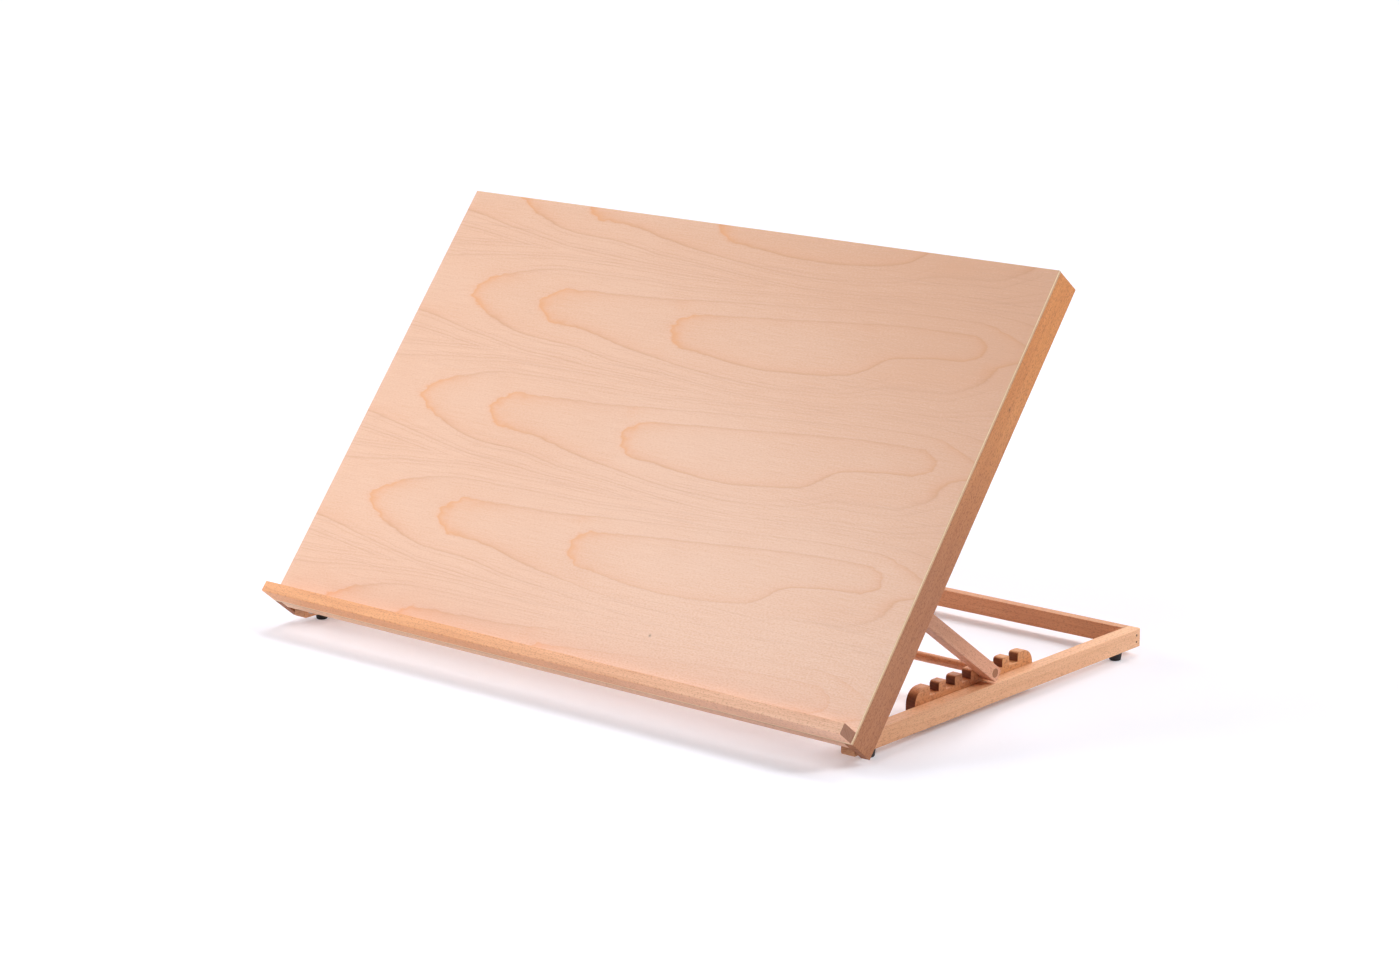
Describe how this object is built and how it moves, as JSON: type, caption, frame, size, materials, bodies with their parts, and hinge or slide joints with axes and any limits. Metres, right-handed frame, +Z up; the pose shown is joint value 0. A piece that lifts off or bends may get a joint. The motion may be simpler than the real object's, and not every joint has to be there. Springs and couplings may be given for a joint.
{
  "type": "slant board",
  "caption": "Table-top wooden slant board: a framed drawing panel with a paper ledge, hinged to a low base and held at an angle by a swinging prop in notched racks.",
  "frame": {"origin": "on the table surface, under the middle of the whole object's box", "axes": "+X across the board to the user's right, +Y from the user to the back, +Z up"},
  "size_m": [0.65, 0.4366, 0.3589],
  "materials": {
    "beech_panel": "beech veneer, satin lacquer, grain across the board",
    "beech_frame": "solid beech, satin lacquer",
    "beech_base": "solid beech, satin lacquer",
    "beech_prop": "solid beech, satin lacquer",
    "beech_dowel": "turned beech dowel, satin lacquer",
    "rubber": "matt black moulded rubber",
    "zinc_steel": "bright zinc plated"
  },
  "bodies": {
    "base": {"rail_left": "beech_base", "rail_right": "beech_base", "rear_crossbar": "beech_base", "rack_left": "beech_base", "rack_right": "beech_base", "foot_front_left": "rubber", "foot_front_right": "rubber", "foot_rear_left": "rubber", "foot_rear_right": "rubber", "foot_screws": "zinc_steel", "rack_screws": "zinc_steel", "crossbar_nails": "zinc_steel"},
    "board": {"drawing_panel": "beech_panel", "stile_left": "beech_frame", "stile_right": "beech_frame", "top_rail": "beech_frame", "bottom_rail": "beech_frame", "ledge": "beech_frame", "frame_pegs": "beech_dowel", "ledge_screws": "zinc_steel", "hinge_screws": "zinc_steel", "hinge_washers": "zinc_steel", "prop_screws": "zinc_steel", "prop_washers": "zinc_steel"},
    "prop": {"prop_leg_left": "beech_prop", "prop_leg_right": "beech_prop", "prop_dowel": "beech_dowel"}
  },
  "joints": [
    {"name": "board_tilt", "type": "hinge", "parent": "base", "child": "board", "pos_m": [0, -0.17981, 0.015], "axis": [1, 0, 0], "range_deg": [0, 48]},
    {"name": "prop_swing", "type": "hinge", "parent": "board", "child": "prop", "pos_m": [0, -0.11637, 0.11594], "axis": [1, 0, 0], "range_deg": [0, 86]}
  ]
}
